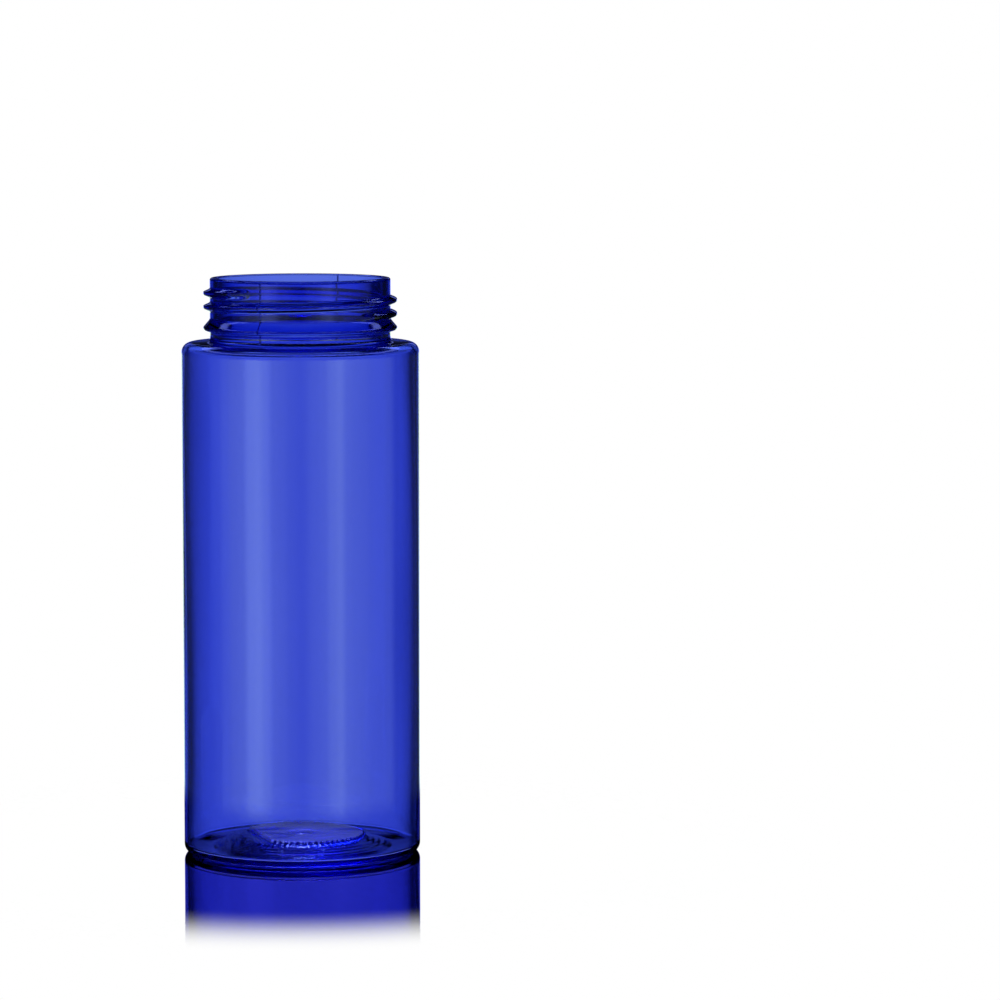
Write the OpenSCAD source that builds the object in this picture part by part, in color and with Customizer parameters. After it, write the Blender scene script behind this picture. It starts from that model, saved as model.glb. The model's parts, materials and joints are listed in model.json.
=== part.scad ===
// Straight-sided blown prescription bottle with a 38 mm continuous-thread neck,
// and its push-and-turn closure, which lies mouth up beside the bottle.
// Millimetres, +Z up. The origin is the centre of the bottle's foot, on the surface it stands on.

/* [Bottle] */
// Overall height of the bottle, from foot to rim
bottle_h = 111.5; // [90:0.5:140]
// Outside diameter of the straight body
body_d = 45.8; // [45:0.2:50]
// Wall thickness of the blown body
body_wall = 0.75; // [0.6:0.05:1.2]
// Radius of the rounded edge between body and shoulder
shoulder_r = 1.9; // [1.2:0.1:2]
// Radius of the heel, between body and foot
heel_r = 1.7; // [1.2:0.1:2]
// Height of the raised plateau in the pushed-up base, on its inside
push_up_h = 3.7; // [3.4:0.1:5]

/* [Neck finish] */
// Height of the neck, from shoulder to rim
neck_h = 12.4; // [12:0.1:13]
// Outside diameter of the neck between the threads
neck_d = 34.8; // [34.7:0.05:35.2]
// Diameter over the thread's crest
thread_d = 37.3; // [37.1:0.05:37.5]
// Diameter of the straight hole through the neck
mouth_d = 32; // [31:0.1:32.4]
// Rise of the thread in one turn
pitch = 2.65; // [2.4:0.05:2.8]
// Number of turns of the bottle's thread, its faded ends included
thread_turns = 1.8; // [1.5:0.1:1.9]
// Depth of the bead ring's lower edge below the rim
bead_depth = 10.3; // [10.1:0.1:10.5]

/* [Closure] */
// Outside diameter of the shell, over its ribs
shell_d = 44; // [44:0.1:46]
// Height of the closure as it lies, mouth up
shell_h = 17.5; // [17.3:0.1:17.7]
// Number of grip ribs round the shell
rib_count = 80; // [60:2:100]
// Travel of the shell over the inner cap when it is pressed
press_travel = 1.2; // [0.9:0.1:1.3]
// Number of drive lugs in the shell, and of ratchet teeth on the inner cap
tooth_count = 12; // [6:1:16]
// Thickness of the sealing liner
liner_t = 1; // [0.8:0.1:1]
// Distance from the bottle's axis to the closure's axis
closure_gap = 84; // [70:1:120]

/* [Colour] */
// Colour of the bottle
bottle_colour = "royalblue"; // [royalblue, darkorange, seagreen]
// Colour of the closure
closure_colour = "white"; // [white, lightgray, ivory]

/* [Hidden] */
$fn = 96;

body_r = body_d / 2;
neck_r = neck_d / 2;
mouth_r = mouth_d / 2;
shoulder_z = bottle_h - neck_h;

// Foot and base of the bottle: a flat foot ring, then a slope, a step and a flank up to the plateau
foot_r_in = 19.2;
foot_wall = 1.6;
inner_heel_r = 0.5;
base_wall = 1.1;
plateau_r = 11.4;
flank_w = 1.2;
step_r = 14.4;
step_h = 2.3;
step_w = 1.2;
step_rise = 0.5;
flank_rise = 0.3;
skirt_r = 17.4;
skirt_h = 1.15;

// Neck of the bottle
neck_fillet = 1;
throat_r = 1.2;
rim_r = 0.4;
rim_chamfer = 0.3;
shoulder_wall = 0.9;
bead_r = 18.7;
bead_h = 2.2;
bead_lip = 0.2;
bead_nose = [0.6, 1.1];

// Thread section, shared by the bottle and the closure
thread_base_w = 2;
thread_crest_w = 0.7;
thread_sink = 0.4;
thread_fade_a = 40;
thread_bury = 0.15;
thread_step_a = 10;
thread_low_depth = 7.3;
thread_low_a = -50;

// Closure, measured up from the shell's flat top, on which it lies
shell_wall = 1.2;
shell_top_t = 1.4;
edge_r = 1;
edge_chamfer = 0.2;
corner_fill = 0.5;
rib_h = 0.35;
rib_root = 0.1;
rib_z = [2, 16.9];
rib_foot = [0.15, 0.85];
rib_crest = [0.32, 0.68];
shell_r = shell_d / 2 - rib_h;
shell_bore_r = shell_r - shell_wall;
lug_h = 1.4;
tooth_h = 1.2;
free_gap = 0.4;
shell_gap = lug_h + tooth_h + free_gap;
inner_top_z = shell_top_t + shell_gap;
inner_top_t = 1.2;
inner_h = 9.8;
inner_mouth_z = inner_top_z + inner_h;
side_gap = 0.4;
inner_r = shell_bore_r - side_gap;
inner_chamfer = 0.65;
snap_play = 0.25;
snap_z = inner_mouth_z + snap_play;
snap_h = 1.5;
snap_depth = 0.8;
snap_crest = [0.35, 0.55];
cap_root_r = thread_d / 2 + 0.3;
cap_crest_r = neck_r + 0.35;
cap_thread_turns = 1.6;
cap_thread_z = 8.9;
lead_in = 0.3;
liner_seat_r = 18.6;
liner_r = liner_seat_r - 0.05;
seat_z = inner_top_z + inner_top_t;
lip_z = seat_z + liner_t + 0.05;
lip_depth = 0.3;
lip_crest = [0.2, 0.45];
lip_h = 1;
lug_r = [14, 18.6];
lug_w = 2.4;
lug_crest_w = 0.6;
lug_low_share = 0.2;
finger_count = 6;
finger_a = 10;
finger_r = [6.5, 9.5];
finger_l = 6;
finger_t = 0.6;
finger_pad_l = 1;
finger_rise = shell_gap - press_travel - 0.3;
overlap = 0.1;

// Points of an arc in a profile: centre, radius, first and last angle, number of steps
function arc(c, r, a0, a1, n = 6) =
    [for (i = [0 : n]) let (a = a0 + (a1 - a0) * i / n) [c[0] + r * cos(a), c[1] + r * sin(a)]];

// Height share at angle a of a thread that ends at angle a_end: 1, falling below 0 at both ends
function fade(a, a_end) =
    min(1, a / thread_fade_a, (a_end - a) / thread_fade_a) * (1 + thread_bury) - thread_bury;

// Section of a thread at angle a: four corners, from the sunk lower one round by the crest
function thread_ring(root_r, crest_r, a, z, share) =
    let (side = sign(crest_r - root_r), sunk = root_r - side * thread_sink,
         tip = root_r + share * (crest_r - root_r))
    [for (p = [[sunk, -thread_base_w / 2], [tip, -thread_crest_w / 2],
               [tip, thread_crest_w / 2], [sunk, thread_base_w / 2]])
        [p[0] * cos(a), p[0] * sin(a), z + p[1]]];

// One helical ridge, rising anticlockwise from height z0 at angle a0
module thread(root_r, crest_r, turns, a0, z0) {
    sweep_a = turns * 360;
    steps = ceil(sweep_a / thread_step_a);
    corners = 4;
    points = [for (i = [0 : steps]) let (a = sweep_a * i / steps)
        each thread_ring(root_r, crest_r, a0 + a, z0 + pitch * a / 360, fade(a, sweep_a))];
    sides = [for (i = [0 : steps - 1]) for (j = [0 : corners - 1])
        let (k = (j + 1) % corners, low = i * corners, high = low + corners)
        each [[low + j, low + k, high + k], [low + j, high + k, high + j]]];
    ends = [[3, 2, 1, 0], [for (j = [0 : corners - 1]) steps * corners + j]];
    faces = concat(sides, ends);
    turned = [for (f = faces) [for (i = [len(f) - 1 : -1 : 0]) f[i]]];
    polyhedron(points, crest_r > root_r ? faces : turned);
}

// The blown shell of the bottle, as half a section turned about the axis
module bottle_wall() {
    wall_r = body_r - body_wall;
    inner_shoulder_r = shoulder_r - body_wall / 2;
    under_z = push_up_h - base_wall;
    bead_z = bottle_h - bead_depth;
    step_in_r = step_r - step_w / 2;
    step_out_r = step_r + step_w / 2;
    flank_r = plateau_r + flank_w;
    outside = concat(
        [[0, under_z], [plateau_r - flank_rise, under_z],
         [flank_r - flank_rise, step_h + flank_rise - base_wall], [step_in_r, step_h - base_wall],
         [step_out_r, skirt_h + step_rise - base_wall], [foot_r_in, 0]],
        arc([body_r - heel_r, heel_r], heel_r, -90, 0),
        arc([body_r - shoulder_r, shoulder_z - shoulder_r], shoulder_r, 0, 90),
        arc([neck_r + neck_fillet, shoulder_z + neck_fillet], neck_fillet, 270, 180),
        [[neck_r, bead_z], [bead_r - bead_lip, bead_z + bead_lip], [bead_r, bead_z + bead_nose[0]],
         [bead_r - bead_lip, bead_z + bead_nose[1]], [neck_r, bead_z + bead_h]],
        arc([neck_r - rim_r, bottle_h - rim_r], rim_r, 0, 90, 4));
    inside = concat(
        [[mouth_r + rim_chamfer, bottle_h], [mouth_r, bottle_h - rim_chamfer]],
        arc([mouth_r + throat_r, shoulder_z - shoulder_wall + throat_r], throat_r, 180, 270),
        arc([wall_r - inner_shoulder_r, shoulder_z - shoulder_wall - inner_shoulder_r],
            inner_shoulder_r, 90, 0),
        arc([wall_r - inner_heel_r, foot_wall + inner_heel_r], inner_heel_r, 0, -90),
        [[skirt_r, skirt_h], [step_out_r, skirt_h + step_rise], [step_in_r, step_h],
         [flank_r, step_h + flank_rise], [plateau_r, push_up_h], [0, push_up_h]]);
    rotate_extrude()
        polygon(concat(outside, inside));
}

// The whole bottle: its shell and the thread round its neck
module bottle() {
    color(bottle_colour)
    union() {
        bottle_wall();
        thread(neck_r, thread_d / 2, thread_turns, thread_low_a, bottle_h - thread_low_depth);
    }
}

// Copies of a shape at equal angles round the axis
module around(count, first_a = 0) {
    for (i = [0 : count - 1])
        rotate([0, 0, first_a + i * 360 / count])
            children();
}

// One saw-toothed block that points up: steep on one side and ramped on the other
module ratchet_block(height) {
    translate([lug_r[0], 0, 0])
        rotate([90, 0, 90])
            linear_extrude(lug_r[1] - lug_r[0])
                polygon([[-lug_w / 2, -overlap], [-lug_w / 2, height * lug_low_share],
                         [lug_w / 2 - lug_crest_w, height], [lug_w / 2, height],
                         [lug_w / 2, -overlap]]);
}

// One springy finger of the shell, which bears on the inner cap
module spring_finger() {
    translate([finger_r[0], 0, 0])
        rotate([90, 0, 90])
            linear_extrude(finger_r[1] - finger_r[0])
                polygon([[0, -overlap], [finger_l, finger_rise - finger_t], [finger_l, finger_rise],
                         [finger_l - finger_pad_l, finger_rise], [0, finger_t]]);
}

// Outline of the grip ribs: a ring of points that step out and in
module rib_outline() {
    rib = [[rib_foot[0], -rib_root], [rib_crest[0], rib_h], [rib_crest[1], rib_h], [rib_foot[1], -rib_root]];
    polygon([for (i = [0 : rib_count - 1]) for (p = rib)
        let (r = shell_r + p[1], a = (i + p[0]) * 360 / rib_count) [r * cos(a), r * sin(a)]]);
}

// The ribbed outer shell of the closure, with its snap ring, drive lugs and spring fingers
module outer_cap() {
    snap_r = shell_bore_r - snap_depth;
    section = concat(
        [[0, 0]],
        arc([shell_r - edge_r, edge_r], edge_r, -90, 0),
        [[shell_r, shell_h - edge_chamfer], [shell_r - edge_chamfer, shell_h], [shell_bore_r, shell_h],
         [shell_bore_r, snap_z + snap_h], [snap_r, snap_z + snap_h * snap_crest[1]],
         [snap_r, snap_z + snap_h * snap_crest[0]], [shell_bore_r, snap_z],
         [shell_bore_r, shell_top_t + corner_fill], [shell_bore_r - corner_fill, shell_top_t],
         [0, shell_top_t]]);
    color(closure_colour)
    translate([-closure_gap, 0, 0])
    union() {
        rotate_extrude()
            polygon(section);
        difference() {
            translate([0, 0, rib_z[0]])
                linear_extrude(rib_z[1] - rib_z[0])
                    rib_outline();
            cylinder(h = shell_h, r = shell_r - shell_wall / 2);
        }
        translate([0, 0, shell_top_t]) {
            around(tooth_count)
                ratchet_block(lug_h);
            around(finger_count, finger_a)
                spring_finger();
        }
    }
}

// The inner cap: it carries the thread, the liner and the ratchet teeth
module inner_cap() {
    lip_r = liner_seat_r - lip_depth;
    section = [[0, inner_top_z], [inner_r - inner_chamfer, inner_top_z],
        [inner_r, inner_top_z + inner_chamfer], [inner_r, inner_mouth_z - edge_chamfer],
        [inner_r - edge_chamfer, inner_mouth_z], [cap_root_r + lead_in, inner_mouth_z],
        [cap_root_r, inner_mouth_z - lead_in], [cap_root_r, lip_z + lip_h],
        [lip_r, lip_z + lip_crest[1]], [lip_r, lip_z + lip_crest[0]], [liner_seat_r, lip_z],
        [liner_seat_r, seat_z], [0, seat_z]];
    color(closure_colour)
    translate([-closure_gap, 0, 0])
    union() {
        rotate_extrude()
            polygon(section);
        thread(cap_root_r, cap_crest_r, cap_thread_turns, thread_low_a, cap_thread_z);
        translate([0, 0, inner_top_z])
            mirror([0, 0, 1])
                around(tooth_count, 180 / tooth_count)
                    ratchet_block(tooth_h);
    }
}

// The sealing disc, held behind the lip in the inner cap
module cap_liner() {
    color("gainsboro")
    translate([-closure_gap, 0, seat_z])
        cylinder(h = liner_t, r = liner_r);
}

bottle();
outer_cap();
inner_cap();
cap_liner();
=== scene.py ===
"""A translucent blue prescription bottle, open, with its push-and-turn closure lying beside it."""
import json
import math

import bpy
import numpy as np
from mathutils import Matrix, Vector


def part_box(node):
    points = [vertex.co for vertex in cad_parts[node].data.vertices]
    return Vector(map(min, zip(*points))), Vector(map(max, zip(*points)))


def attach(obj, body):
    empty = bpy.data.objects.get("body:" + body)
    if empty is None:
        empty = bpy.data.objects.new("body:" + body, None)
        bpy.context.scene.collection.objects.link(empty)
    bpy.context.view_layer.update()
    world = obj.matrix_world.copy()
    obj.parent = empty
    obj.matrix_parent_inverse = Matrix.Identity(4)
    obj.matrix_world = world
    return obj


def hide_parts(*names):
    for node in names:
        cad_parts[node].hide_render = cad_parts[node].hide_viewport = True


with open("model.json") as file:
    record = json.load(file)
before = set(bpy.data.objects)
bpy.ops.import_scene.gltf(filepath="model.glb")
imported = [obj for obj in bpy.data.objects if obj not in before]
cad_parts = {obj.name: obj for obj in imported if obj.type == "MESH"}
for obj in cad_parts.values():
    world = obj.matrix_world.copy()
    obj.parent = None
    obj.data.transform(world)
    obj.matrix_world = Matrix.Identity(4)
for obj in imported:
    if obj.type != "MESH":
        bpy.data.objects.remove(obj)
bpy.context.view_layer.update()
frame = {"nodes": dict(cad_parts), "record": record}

MM = 0.001

# The bottle, in millimetres and degrees. The overall sizes come from the frame.
bottle_lo, bottle_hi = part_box("bottle")
HEIGHT = bottle_hi[2] / MM
BODY_R = bottle_hi[0] / MM
MOUTH_R = next(m for m in frame["record"]["mounts"] if m["name"] == "mouth_bore")["dims"]["r_mm"]
NECK_H = 12.4
NECK_R = 17.4
WALL = 0.75
SHOULDER_Z = HEIGHT - NECK_H
SHOULDER_R = 1.9
HEEL_R = 1.7
# Distance of a straight wall's end rows from the roundings beside them
ROUNDING_GAP = 0.3
RIM_R = 0.45
LIP_R = 0.3
THROAT_R = 1.2
BEAD_DEPTH = 10.3

# The thread: its crest, its rise in a turn, its start and the rounded section of its ridge
CREST_R = 18.65
PITCH = 2.65
THREAD_TURNS = 1.8
THREAD_LOW_ANGLE = -50
THREAD_LOW_DEPTH = 7.3
THREAD_FADE = 40
THREAD_DEPTHS = (0.5, 9.5)
RIDGE_FOOT = 1.0
RIDGE_CREST = 0.22

# The mould's parting line
SEAMS = (244, 64)
SEAM_HALF = 0.6
SEAM_COLUMNS = (-0.6, -0.3, -0.15, 0.15, 0.3, 0.6)
SEAM_H = 0.28

# The plateau in the base: its teeth, and the chord that cuts one side off
TEETH = 64
TEETH_R = 11.7
TEETH_REACH = 0.9
CHORD_ANGLE = 196.5
CHORD_AT = 8.5
CHORD_DROP = 0.75

# Mesh: columns round the bottle, and the longest stretch of a profile outside and inside
AROUND = 432
LONGEST_OUTSIDE = 8
LONGEST_INSIDE = 0.35

# The closure's place, from the frame
cap_lo, cap_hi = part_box("outer_cap")
CAP_X = (cap_lo[0] + cap_hi[0]) / 2

# Share of light, by colour, that the polished floor gives back, and the light it shows as white
MIRROR_TINT = (0.4, 0.3, 0.68)
MIRRORED_WHITE = (*(1 / c for c in MIRROR_TINT), 1)
# Distances from the bottle's axis between which the floor's mirror fades out, in metres
MIRROR_FADE = (0.062, 0.103)
FLOOR_HALF = 0.4

BLACK = (0, 0, 0, 1)
WHITE = (1, 1, 1, 1)
# Light that the studio gives to matt surfaces
SOFT_GREY = (0.6, 0.6, 0.6, 1)

# Brightness of the studio that the bottle's outside mirrors, by degrees clockwise from +Y
PANELS = [(-180, 0.22), (-170, 0.36), (-162, 0.6), (-154, 0.75), (-146, 1.4), (-138, 1.9),
          (-129, 1.7), (-121, 0.95), (-112, 0.78), (-102, 0.43), (-92, 0.14), (-80, 0.03),
          (-17, 0.03), (-12, 1), (12, 1), (17, 0.03), (74, 0.03), (86, 0.38), (97, 0.42),
          (107, 0.5), (117, 0.68), (125, 0.78), (134, 0.95), (142, 1.6), (150, 1.3), (158, 0.78),
          (166, 0.6), (180, 0.22)]
# The same for the white backdrops: through one wall, through both walls, and from higher up
CARDS = [(-180, 0.03), (-106, 0.03), (-100, 1), (-80, 1), (-74, 0.03), (-26, 0.03), (-20, 1),
         (16, 1), (22, 0.03), (180, 0.03)]
BACKDROPS = [(-180, 0.1), (-110, 0.1), (-105, 0.3), (-96, 1), (-85, 1), (-80, 0.1), (-20, 0.05),
             (-16, 0.15), (-12, 0.45), (-8, 0.85), (-5, 1), (4.5, 1), (7, 0.5), (9.5, 0.08),
             (180, 0.08)]
TALL = [(-180, 0), (-63, 0), (-57, 1), (-33, 1), (-27, 0), (117, 0), (123, 1), (147, 1),
        (153, 0), (180, 0)]
# Brightness by the direction's rise (its Z): panels, and lights seen through the plastic
PANEL_HEIGHT = [(-1, 0.5), (-0.24, 0.5), (-0.176, 0), (-0.168, 1), (-0.063, 1), (-0.059, 1.3),
                (-0.03, 1.3), (0, 0.1), (0.12, 0), (0.13, 0.6), (0.185, 0.6), (0.19, 0)]
LAMP_HEIGHT = [(-1, 0), (-0.62, 0), (-0.56, 0.9), (-0.34, 0.9), (-0.3, 0), (0.26, 0), (0.3, 1.3),
               (0.5, 1.3), (0.55, 0), (0.8, 0), (0.86, 1.5), (1, 1.5)]
# Bands of rise, each as low edge, high edge and softness
BACKDROP_BAND = (-0.21, 0.21, 0.02)
TALL_BAND_ONE_WALL = (-0.6, -0.24, 0.03)
TALL_BAND_BOTH_WALLS = (-0.6, 0.6, 0.06)
COOL_BAND = (-0.18, -0.063, 0.005)
RING_BAND = (0.54, 0.6, 0.04)
# Brightness of the ring light overhead, and the studio's tints near the horizon and far from it
RING = 2.5
COOL = (0.86, 1.17, 1.04, 1)
BLUE = (0.24, 0.32, 1.2, 1)
# Surfaces crossed: more than these are one wall, both walls, and a long way through base or neck
ONE_WALL = 1.5
BOTH_WALLS = 2.5
LONG_WAY = 5.5
# Share of brightness left to light that went the long way
LONG_WAY_SHARE = 0.25
# A ray that came straight off the floor to the studio has a depth below this
STRAIGHT_DEPTH = 2.5


# ---------------------------------------------------------------- profiles

def arc(centre, radius, first, last, steps=8):
    """Points of an arc in the half section, in millimetres."""
    angles = np.radians(np.linspace(first, last, steps + 1))
    return [(centre[0] + radius * math.cos(a), centre[1] + radius * math.sin(a)) for a in angles]


def between(start, end, share):
    """The point at a share of the way from one point to another."""
    return start[0] + share * (end[0] - start[0]), start[1] + share * (end[1] - start[1])


def rounded(points, rounds=2, share=0.25):
    """Cuts every inner corner of an open outline back, so that it reads as a small radius."""
    for _ in range(rounds):
        cut = [points[0]]
        for start, end in zip(points, points[1:]):
            cut += [between(start, end, share), between(start, end, 1 - share)]
        points = [*cut, points[-1]]
    return points


def spaced(points, longest):
    """Adds points so that no stretch of an outline is longer than `longest`."""
    out = [points[0]]
    for start, end in zip(points, points[1:]):
        n = max(1, math.ceil(math.dist(start, end) / longest))
        out += [between(start, end, i / n) for i in range(1, n + 1)]
    return out


def outside_profile():
    """Half section of the bottle's outside, from the axis under the base to the top of the rim."""
    under = rounded([(0, 2.6), (11.1, 2.6), (12.3, 1.5), (13.8, 1.2), (15, 0.55), (17, 0.3),
                     (19.3, 0)])
    heel = arc((BODY_R - HEEL_R, HEEL_R), HEEL_R, -90, 0, 10)
    wall = [(BODY_R, HEEL_R + ROUNDING_GAP), (BODY_R, SHOULDER_Z - SHOULDER_R - ROUNDING_GAP)]
    shoulder = arc((BODY_R - SHOULDER_R, SHOULDER_Z - SHOULDER_R), SHOULDER_R, 0, 90, 12)
    root = arc((NECK_R + 1, SHOULDER_Z + 1), 1, 270, 180)
    bead_z = HEIGHT - BEAD_DEPTH
    bead = rounded([(NECK_R, bead_z - 0.3), (NECK_R + 0.1, bead_z), (18.5, bead_z + 0.2),
                    (18.75, bead_z + 0.75), (18.3, bead_z + 1.3), (17.6, bead_z + 2.1),
                    (NECK_R, bead_z + 2.5)])
    finish = spaced([(NECK_R, bead_z + 2.6), (NECK_R, HEIGHT - THREAD_DEPTHS[0])], 0.12)
    rim = arc((NECK_R - RIM_R, HEIGHT - RIM_R), RIM_R, 0, 90, 6)
    return [*under, *heel, *wall, *shoulder, *root, *bead, *finish, *rim[1:]]


def inside_profile():
    """Half section of the bottle's inside, from the top of the rim to the axis on the plateau."""
    lip = arc((MOUTH_R + LIP_R, HEIGHT - LIP_R), LIP_R, 90, 180, 5)
    throat = arc((MOUTH_R + THROAT_R, SHOULDER_Z + 0.3), THROAT_R, 180, 270)
    inner_r = BODY_R - WALL
    shoulder = arc((inner_r - 1.2, SHOULDER_Z - 2), 1.2, 90, 0, 10)
    heel = arc((inner_r - 0.5, 2.1), 0.5, 0, -90, 6)
    floor = rounded([(21.6, 1.6), (17.6, 1.15), (17.2, 1.2), (16.9, 1.55), (16.3, 1.6), (16, 1.8),
                     (15.1, 1.85), (14.8, 2.1), (14, 2.15), (13.7, 2.4), (12.9, 2.5), (12.5, 2.75),
                     (12, 3.2), (11.5, 3.7), (11.2, 3.72), (2.9, 3.7), (2.5, 3.35), (2.1, 3.68),
                     (0, 3.72)])
    return [*lip, *throat, *shoulder, *heel, *floor]


# ---------------------------------------------------------------- the bottle's shape

def smooth(share):
    """Eases a share between 0 and 1, and holds it there beyond."""
    t = np.clip(share, 0, 1)
    return t * t * (3 - 2 * t)


def add_thread(r, z, a, outer):
    """Raises the helical ridge on the neck's outside, faded at both ends."""
    on_neck = outer & (z > HEIGHT - THREAD_DEPTHS[1]) & (z < HEIGHT - THREAD_DEPTHS[0])
    for winding in range(-1, 3):
        along = np.degrees(a) + 360 * winding - THREAD_LOW_ANGLE
        ridge_z = HEIGHT - THREAD_LOW_DEPTH + PITCH * along / 360
        fade = smooth(np.minimum(along, THREAD_TURNS * 360 - along) / THREAD_FADE)
        share = smooth((RIDGE_FOOT - np.abs(z - ridge_z)) / (RIDGE_FOOT - RIDGE_CREST)) * fade
        r = np.where(on_neck, np.maximum(r, NECK_R + (CREST_R - NECK_R) * share), r)
    return r


def add_parting_line(r, z, a, outer):
    """Raises the mould's fine parting line on both sides of the neck and the shoulder."""
    on_line = outer & (z > SHOULDER_Z + 0.5) & (z < HEIGHT - 0.3)
    for seam in SEAMS:
        off = np.abs((np.degrees(a) - seam + 180) % 360 - 180)
        r = np.where(on_line, r + SEAM_H * np.clip(1 - off / SEAM_HALF, 0, 1), r)
    return r


def cut_teeth(r, z, a):
    """Cuts small teeth of uneven depth round the plateau's edge."""
    near = np.clip(1 - np.abs(r - TEETH_R) / TEETH_REACH, 0, 1) * (z < 5)
    return r + near * (0.34 + 0.14 * np.sin(5 * a)) * np.sin(TEETH * a)


def break_plateau(r, z, a, inner):
    """Cuts one side of the plateau off along the chord, with broken steps beyond it."""
    beyond = r * np.cos(a - np.radians(CHORD_ANGLE)) - CHORD_AT
    drop = CHORD_DROP * np.clip(beyond / 0.35, 0, 1) * np.clip((z - 2.9) / 0.8, 0, 1)
    steps = 0.14 * np.clip(beyond - 1.5, 0, 1) * np.sin(r * 4.1 + 9 * a) * np.sin(31 * a + r)
    swirl = 0.03 * np.sin(r * 2.3 + 2 * a) * np.sin(3.7 * r * np.cos(a - 0.4)) * (z > 3.5)
    return np.where(inner & (z < 4.5) & (r < 17), z - drop + steps + swirl, z)


def add_waves(r, z, a, inner):
    """Makes the blown wall's inside uneven, in slow upright waves that fade out at both ends."""
    fade = np.clip((z - 4) / 12, 0, 1) * np.clip((SHOULDER_Z - 3 - z) / 12, 0, 1)
    waves = (0.035 * np.sin(3 * a + 0.9) + 0.02 * np.sin(7 * a + z / 21)
             + 0.012 * np.sin(z / 9 + 2 * a))
    return r + inner * (r > 20) * fade * waves


def make_bottle():
    """The bottle as one closed mesh: the revolved profile with its thread, seams and base details."""
    outside = spaced(outside_profile(), LONGEST_OUTSIDE)
    profile = outside + spaced(inside_profile(), LONGEST_INSIDE)
    even = np.arange(AROUND) * 360 / AROUND
    beside_seams = [seam + off for seam in SEAMS for off in SEAM_COLUMNS]
    columns = np.radians(np.sort(np.concatenate([even, beside_seams])))

    rows = np.array(profile[1:-1])
    r, a = np.meshgrid(rows[:, 0], columns, indexing="ij")
    z = np.repeat(rows[:, 1:], len(columns), axis=1)
    outer = np.zeros_like(r, dtype=bool)
    outer[:len(outside) - 1] = True
    r = add_thread(r, z, a, outer)
    r = add_parting_line(r, z, a, outer)
    r = cut_teeth(r, z, a)
    z = break_plateau(r, z, a, ~outer)
    r = add_waves(r, z, a, ~outer)

    verts = np.stack([r * np.cos(a), r * np.sin(a), z], axis=-1).reshape(-1, 3)
    verts = np.vstack([verts, [(0, 0, profile[0][1]), (0, 0, profile[-1][1])]]) * MM
    n = len(columns)
    step = np.arange(n)
    following = (step + 1) % n
    faces = []
    for low in range(0, (len(rows) - 1) * n, n):
        high = low + n
        quads = np.stack([low + step, low + following, high + following, high + step], axis=1)
        faces += quads.tolist()
    top = (len(rows) - 1) * n
    under_axis, inside_axis = len(rows) * n, len(rows) * n + 1
    for here, there in zip(step.tolist(), following.tolist()):
        faces += [(under_axis, there, here), (inside_axis, top + here, top + there)]
    mesh = bpy.data.meshes.new("bottle_shell")
    mesh.from_pydata(verts.tolist(), [], faces)
    mesh.update()
    mesh.polygons.foreach_set("use_smooth", [True] * len(mesh.polygons))
    piece = bpy.data.objects.new("bottle_shell", mesh)
    bpy.context.collection.objects.link(piece)
    return piece


# ---------------------------------------------------------------- shader nodes

class Tree:
    """Adds nodes to a material or world. A source is a number, a tuple or another node's socket."""

    def __init__(self, owner):
        owner.use_nodes = True
        self.nodes, self.links = owner.node_tree.nodes, owner.node_tree.links

    def feed(self, socket, source):
        if isinstance(source, bpy.types.NodeSocket):
            self.links.new(source, socket)
        else:
            socket.default_value = source

    def set(self, node, **sources):
        """Feeds a node's named sockets. An underscore stands for the blank in a socket's name."""
        for name, source in sources.items():
            self.feed(node.inputs[name.replace("_", " ")], source)
        return node

    def add(self, kind, **sources):
        return self.set(self.nodes.new("ShaderNode" + kind), **sources)

    def place(self, output="Object"):
        return self.add("TexCoord").outputs[output]

    def split(self, vector):
        return self.add("SeparateXYZ", Vector=vector).outputs

    def vector_math(self, operation, *sources):
        node = self.add("VectorMath")
        node.operation = operation
        for socket, source in zip(node.inputs, sources):
            self.feed(socket, source)
        return node.outputs

    def math(self, operation, *sources):
        node = self.add("Math")
        node.operation = operation
        for socket, source in zip(node.inputs, sources):
            self.feed(socket, source)
        return node.outputs["Value"]

    def product(self, first, *others):
        for other in others:
            first = self.math("MULTIPLY", first, other)
        return first

    def noise(self, scale, detail=3.0, roughness=0.5, stretch=(1, 1, 1)):
        """A noise texture in object space, in metres, stretched along the axes."""
        vector = self.add("Mapping", Vector=self.place(), Scale=stretch).outputs["Vector"]
        return self.add("TexNoise", Vector=vector, Scale=scale, Detail=detail,
                        Roughness=roughness).outputs["Fac"]

    def ramp(self, source, stops, interpolation="LINEAR"):
        """A colour ramp with stops given as (position, grey value or colour)."""
        node = self.add("ValToRGB", Fac=source)
        node.color_ramp.interpolation = interpolation
        elements = node.color_ramp.elements
        elements.remove(elements[1])
        for i, (position, value) in enumerate(stops):
            element = elements[0] if i == 0 else elements.new(position)
            element.position = position
            element.color = (*(value if isinstance(value, tuple) else [value] * 3), 1)
        return node.outputs["Color"]

    def band(self, value, low, high, soft):
        """A share that is 1 from low to high and falls to 0 over `soft` on both sides."""
        edges = []
        for edge, outer in ((low, low - soft), (high, high + soft)):
            node = self.add("MapRange", Value=value, From_Min=outer, From_Max=edge)
            node.interpolation_type = "SMOOTHSTEP"
            edges.append(node.outputs["Result"])
        return self.product(*edges)

    def mix(self, share, first, second):
        """First to second colour by a share, which may go beyond 1."""
        node = self.add("Mix")
        node.data_type = "RGBA"
        node.clamp_factor = False
        sockets = {i.identifier: i for i in node.inputs}
        for name, source in (("Factor_Float", share), ("A_Color", first), ("B_Color", second)):
            self.feed(sockets[name], source)
        return next(o for o in node.outputs if o.identifier == "Result_Color")

    def bump(self, shader, height, distance, strength):
        node = self.add("Bump", Height=height, Distance=distance, Strength=strength)
        self.set(shader, Normal=node.outputs["Normal"])


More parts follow.
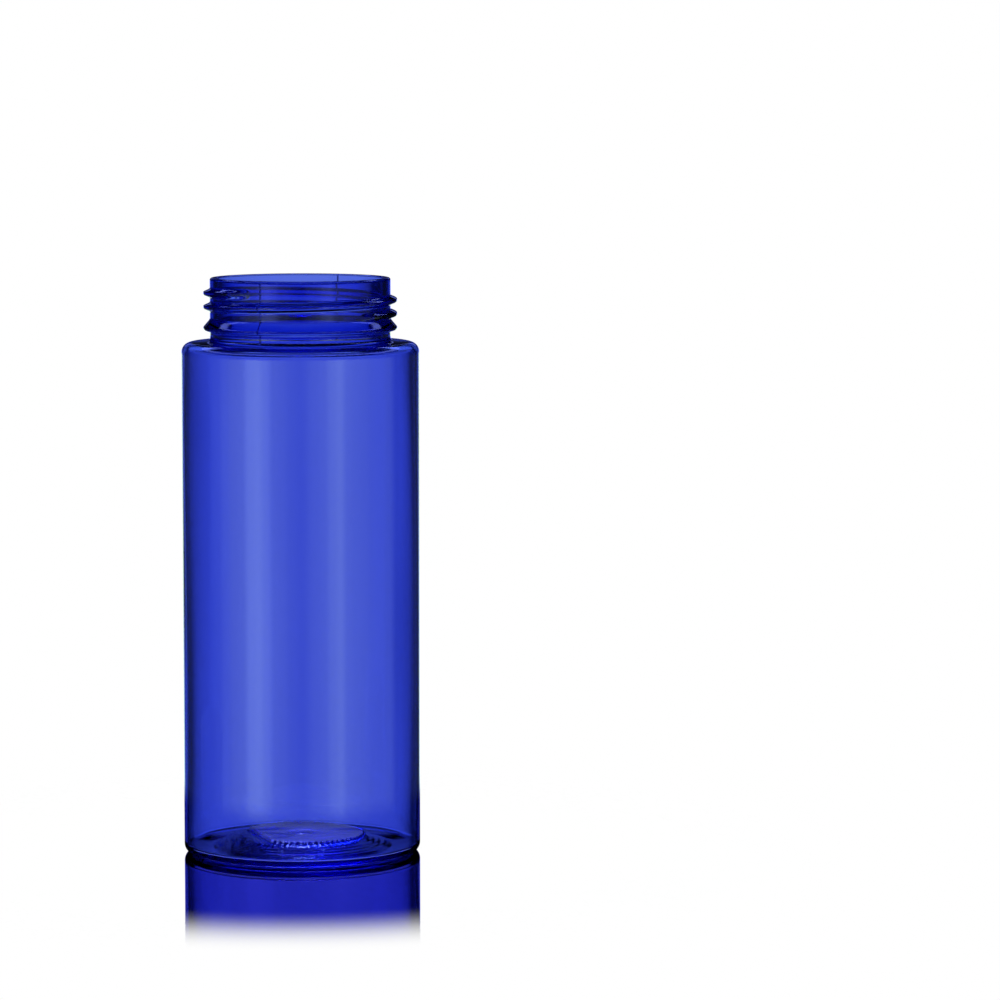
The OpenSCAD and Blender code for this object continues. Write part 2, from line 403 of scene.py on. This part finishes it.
def new_material(name):
    mat = bpy.data.materials.new(name)
    tree = Tree(mat)
    return mat, tree, tree.nodes["Principled BSDF"], tree.nodes["Material Output"]


# ---------------------------------------------------------------- materials

def frosting(tree):
    """Share of frosting: streaked on the plateau, and a thin ring in the front of the heel."""
    place = tree.place()
    split = tree.split(place)
    y, z = split["Y"], split["Z"]
    level = tree.vector_math("MULTIPLY", place, (1, 1, 0))["Vector"]
    r = tree.vector_math("LENGTH", level)["Value"]
    plateau = tree.product(tree.math("LESS_THAN", r, 0.0117), tree.math("GREATER_THAN", z, 0.0033),
                           tree.math("LESS_THAN", z, 0.005))
    streaks = tree.ramp(tree.noise(260, 3, 0.55, (0.35, 1, 1)),
                        [(0.38, 0.3), (0.5, 0.55), (0.62, 0.85)], "EASE")
    ring = tree.product(tree.band(r, 0.0217, 0.0220, 0.0001), tree.band(z, 0.0014, 0.0021, 0.0002),
                        tree.band(y, -0.03, -0.010, 0.003), 0.7)
    return tree.math("MAXIMUM", tree.product(plateau, streaks), ring)


def blue_plastic():
    """Clear PET dyed cobalt blue: the colour comes from the depth of plastic that light crosses."""
    mat, tree, shader, out = new_material("blue_pet")
    flow = tree.noise(60, 2, 0.5, (1, 1, 0.15))
    tint = tree.ramp(flow, [(0.3, (0.43, 0.46, 0.90)), (0.7, (0.47, 0.50, 0.92))])
    polish = tree.ramp(tree.noise(300, 4, 0.6), [(0.35, 0.03), (0.8, 0.05)], "EASE")
    tree.set(shader, Transmission_Weight=1, IOR=1.57, Base_Color=tint,
             Roughness=tree.math("MULTIPLY_ADD", frosting(tree), 1, polish))
    tree.bump(shader, flow, 0.0002, 0.1)
    dye = tree.add("VolumeAbsorption", Color=(0.1, 0.356, 0.919, 1), Density=1200)
    tree.set(out, Volume=dye.outputs["Volume"])
    return mat


def white_plastic():
    """White moulded polypropylene: satin, with fine grain and faint flow shade."""
    mat, tree, shader, _ = new_material("white_pp")
    tone = tree.ramp(tree.noise(90), [(0.3, (0.80, 0.80, 0.79)), (0.7, (0.88, 0.88, 0.87))])
    grain = tree.noise(4000, 2, 0.6)
    tree.set(shader, Base_Color=tone, Roughness=tree.ramp(grain, [(0.3, 0.32), (0.7, 0.46)]),
             Subsurface_Weight=0.15, Subsurface_Radius=(0.0012, 0.0012, 0.001))
    tree.bump(shader, grain, 0.00004, 0.3)
    return mat


def foam():
    """Soft foamed sheet: matt, with a fine closed-cell texture."""
    mat, tree, shader, _ = new_material("foam_liner")
    cells = tree.add("TexVoronoi", Vector=tree.place(), Scale=2600).outputs["Distance"]
    tone = tree.ramp(cells, [(0.0, (0.80, 0.79, 0.75)), (0.8, (0.90, 0.89, 0.86))])
    tree.set(shader, Base_Color=tone, Roughness=0.75)
    tree.bump(shader, cells, 0.0001, 0.4)
    return mat


# ---------------------------------------------------------------- stage, light and camera

def make_floor():
    """A floor that mirrors the bottle close to it, and lets the white below show further out."""
    mesh = bpy.data.meshes.new("floor")
    corners = [(x * FLOOR_HALF, y * FLOOR_HALF, 0) for x, y in ((-1, -1), (1, -1), (1, 1), (-1, 1))]
    mesh.from_pydata(corners, [], [(0, 1, 2, 3)])
    floor = bpy.data.objects.new("floor", mesh)
    bpy.context.collection.objects.link(floor)
    mat, tree, shader, out = new_material("white_floor")
    tree.nodes.remove(shader)
    clear = tree.add("BsdfTransparent").outputs["BSDF"]
    mirror = tree.add("BsdfGlossy", Color=(*MIRROR_TINT, 1), Roughness=0).outputs["BSDF"]
    away = tree.vector_math("LENGTH", tree.place())["Value"]
    fade = tree.add("MapRange", Value=away, From_Min=MIRROR_FADE[0], From_Max=MIRROR_FADE[1],
                    To_Min=1, To_Max=0)
    fade.interpolation_type = "SMOOTHERSTEP"
    mix = tree.add("MixShader", Fac=fade.outputs["Result"])
    tree.links.new(clear, mix.inputs[1])
    tree.links.new(mirror, mix.inputs[2])
    tree.set(out, Surface=mix.outputs["Shader"])
    floor.data.materials.append(mat)


def make_world():
    """White to the camera. Light that crossed plastic meets white backdrops, and light that the
    bottle's outside mirrors meets a studio of bright panels and dark cards."""
    world = bpy.data.worlds.new("studio")
    bpy.context.scene.world = world
    tree = Tree(world)
    direction = tree.split(tree.place("Generated"))
    rise = direction["Z"]
    turn = tree.math("ARCTAN2", direction["X"], direction["Y"])
    turn = tree.math("MULTIPLY_ADD", turn, 0.5 / math.pi, 0.5)
    panels, cards, backdrops, tall = (
        tree.ramp(turn, [((angle + 180) / 360, value) for angle, value in stops], "EASE")
        for stops in (PANELS, CARDS, BACKDROPS, TALL))
    height = tree.math("MULTIPLY_ADD", rise, 0.5, 0.5)
    panel_height, lamp_height = (
        tree.ramp(height, [((z + 1) / 2, value) for z, value in stops], "EASE")
        for stops in (PANEL_HEIGHT, LAMP_HEIGHT))
    path = tree.add("LightPath").outputs
    mirrored = path["Is Singular Ray"]

    # what the outside mirrors: panels and a ring light, which the floor doesn't mirror once more
    own = tree.math("SUBTRACT", 1, mirrored)
    ring = tree.product(tree.band(rise, *RING_BAND), RING, own)
    outside = tree.math("ADD", tree.product(panel_height, panels, own), ring)
    tint = tree.mix(tree.band(rise, *COOL_BAND), BLUE, COOL)
    outside = tree.mix(outside, BLACK, tint)

    # what is seen through one wall
    low = tree.band(rise, *BACKDROP_BAND)
    single = tree.math("MAXIMUM", tree.product(cards, low), lamp_height)
    single = tree.math("MAXIMUM", single, tree.product(tall, tree.band(rise, *TALL_BAND_ONE_WALL)))

    # what is seen through both walls
    near = tree.math("LESS_THAN", path["Transmission Depth"], LONG_WAY)
    double = tree.math("MAXIMUM", tree.product(backdrops, low), tree.product(near, lamp_height))
    double = tree.math("MAXIMUM", double, tree.product(tall, tree.band(rise, *TALL_BAND_BOTH_WALLS)))
    brighter = tree.mix(double, BLACK, MIRRORED_WHITE)
    double = tree.mix(tree.product(mirrored, near), double, brighter)
    left = tree.math("MULTIPLY_ADD", near, 1 - LONG_WAY_SHARE, LONG_WAY_SHARE)
    double = tree.mix(left, BLACK, double)

    one_wall, both_walls = (tree.math("GREATER_THAN", path["Transmission Depth"], n)
                            for n in (ONE_WALL, BOTH_WALLS))
    straight = tree.product(tree.math("LESS_THAN", path["Ray Depth"], STRAIGHT_DEPTH), mirrored)
    light = tree.mix(one_wall, outside, tree.mix(both_walls, single, double))
    light = tree.mix(path["Is Diffuse Ray"], light, SOFT_GREY)
    light = tree.mix(straight, light, MIRRORED_WHITE)
    light = tree.mix(path["Is Camera Ray"], light, WHITE)
    tree.set(tree.nodes["Background"], Color=light)


def face(piece, location, aim):
    """Puts a lamp or camera at a place and turns it towards a point."""
    bpy.context.collection.objects.link(piece)
    piece.location = location
    piece.rotation_mode = "QUATERNION"
    piece.rotation_quaternion = (Vector(aim) - Vector(location)).to_track_quat("-Z", "Y")


def make_lamp(name, location, aim, size, power, for_gloss, spread=180):
    """A round softbox, hidden from the camera. Without for_gloss it lights only matt surfaces."""
    data = bpy.data.lights.new(name, "AREA")
    data.shape = "DISK"
    data.size = size
    data.energy = power
    data.spread = math.radians(spread)
    lamp = bpy.data.objects.new(name, data)
    face(lamp, location, aim)
    lamp.visible_camera = False
    lamp.visible_glossy = for_gloss
    lamp.visible_transmission = False


def make_camera():
    """A long lens a little above the bottle, turned so that the bottle stands left of the middle."""
    data = bpy.data.cameras.new("camera")
    data.lens = 163.7
    data.sensor_width = 36
    camera = bpy.data.objects.new("camera", data)
    face(camera, (0, -0.876, 0.1537), (0.0385, 0, 0.0683))
    bpy.context.scene.camera = camera


make_camera()
make_world()
make_floor()
make_lamp("mouth_lamp", (0, 0, 0.1135), (0, 0, 0), size=0.024, power=0.08, for_gloss=True,
          spread=60)
make_lamp("closure_lamp", (CAP_X - 0.2, -0.3, 0.5), (CAP_X, 0, 0), size=0.3, power=2,
          for_gloss=False)

cycles = bpy.context.scene.cycles
cycles.max_bounces = 24
cycles.transmission_bounces = 24
cycles.glossy_bounces = 12
cycles.transparent_max_bounces = 24

bottle = make_bottle()
bottle.data.materials.append(blue_plastic())
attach(bottle, "bottle")
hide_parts("bottle")

closure_white = white_plastic()
for node, material in (("outer_cap", closure_white), ("inner_cap", closure_white),
                       ("cap_liner", foam())):
    piece = frame["nodes"][node]
    piece.visible_glossy = False
    piece.data.materials.clear()
    piece.data.materials.append(material)

bpy.context.scene.view_settings.view_transform = "Standard"
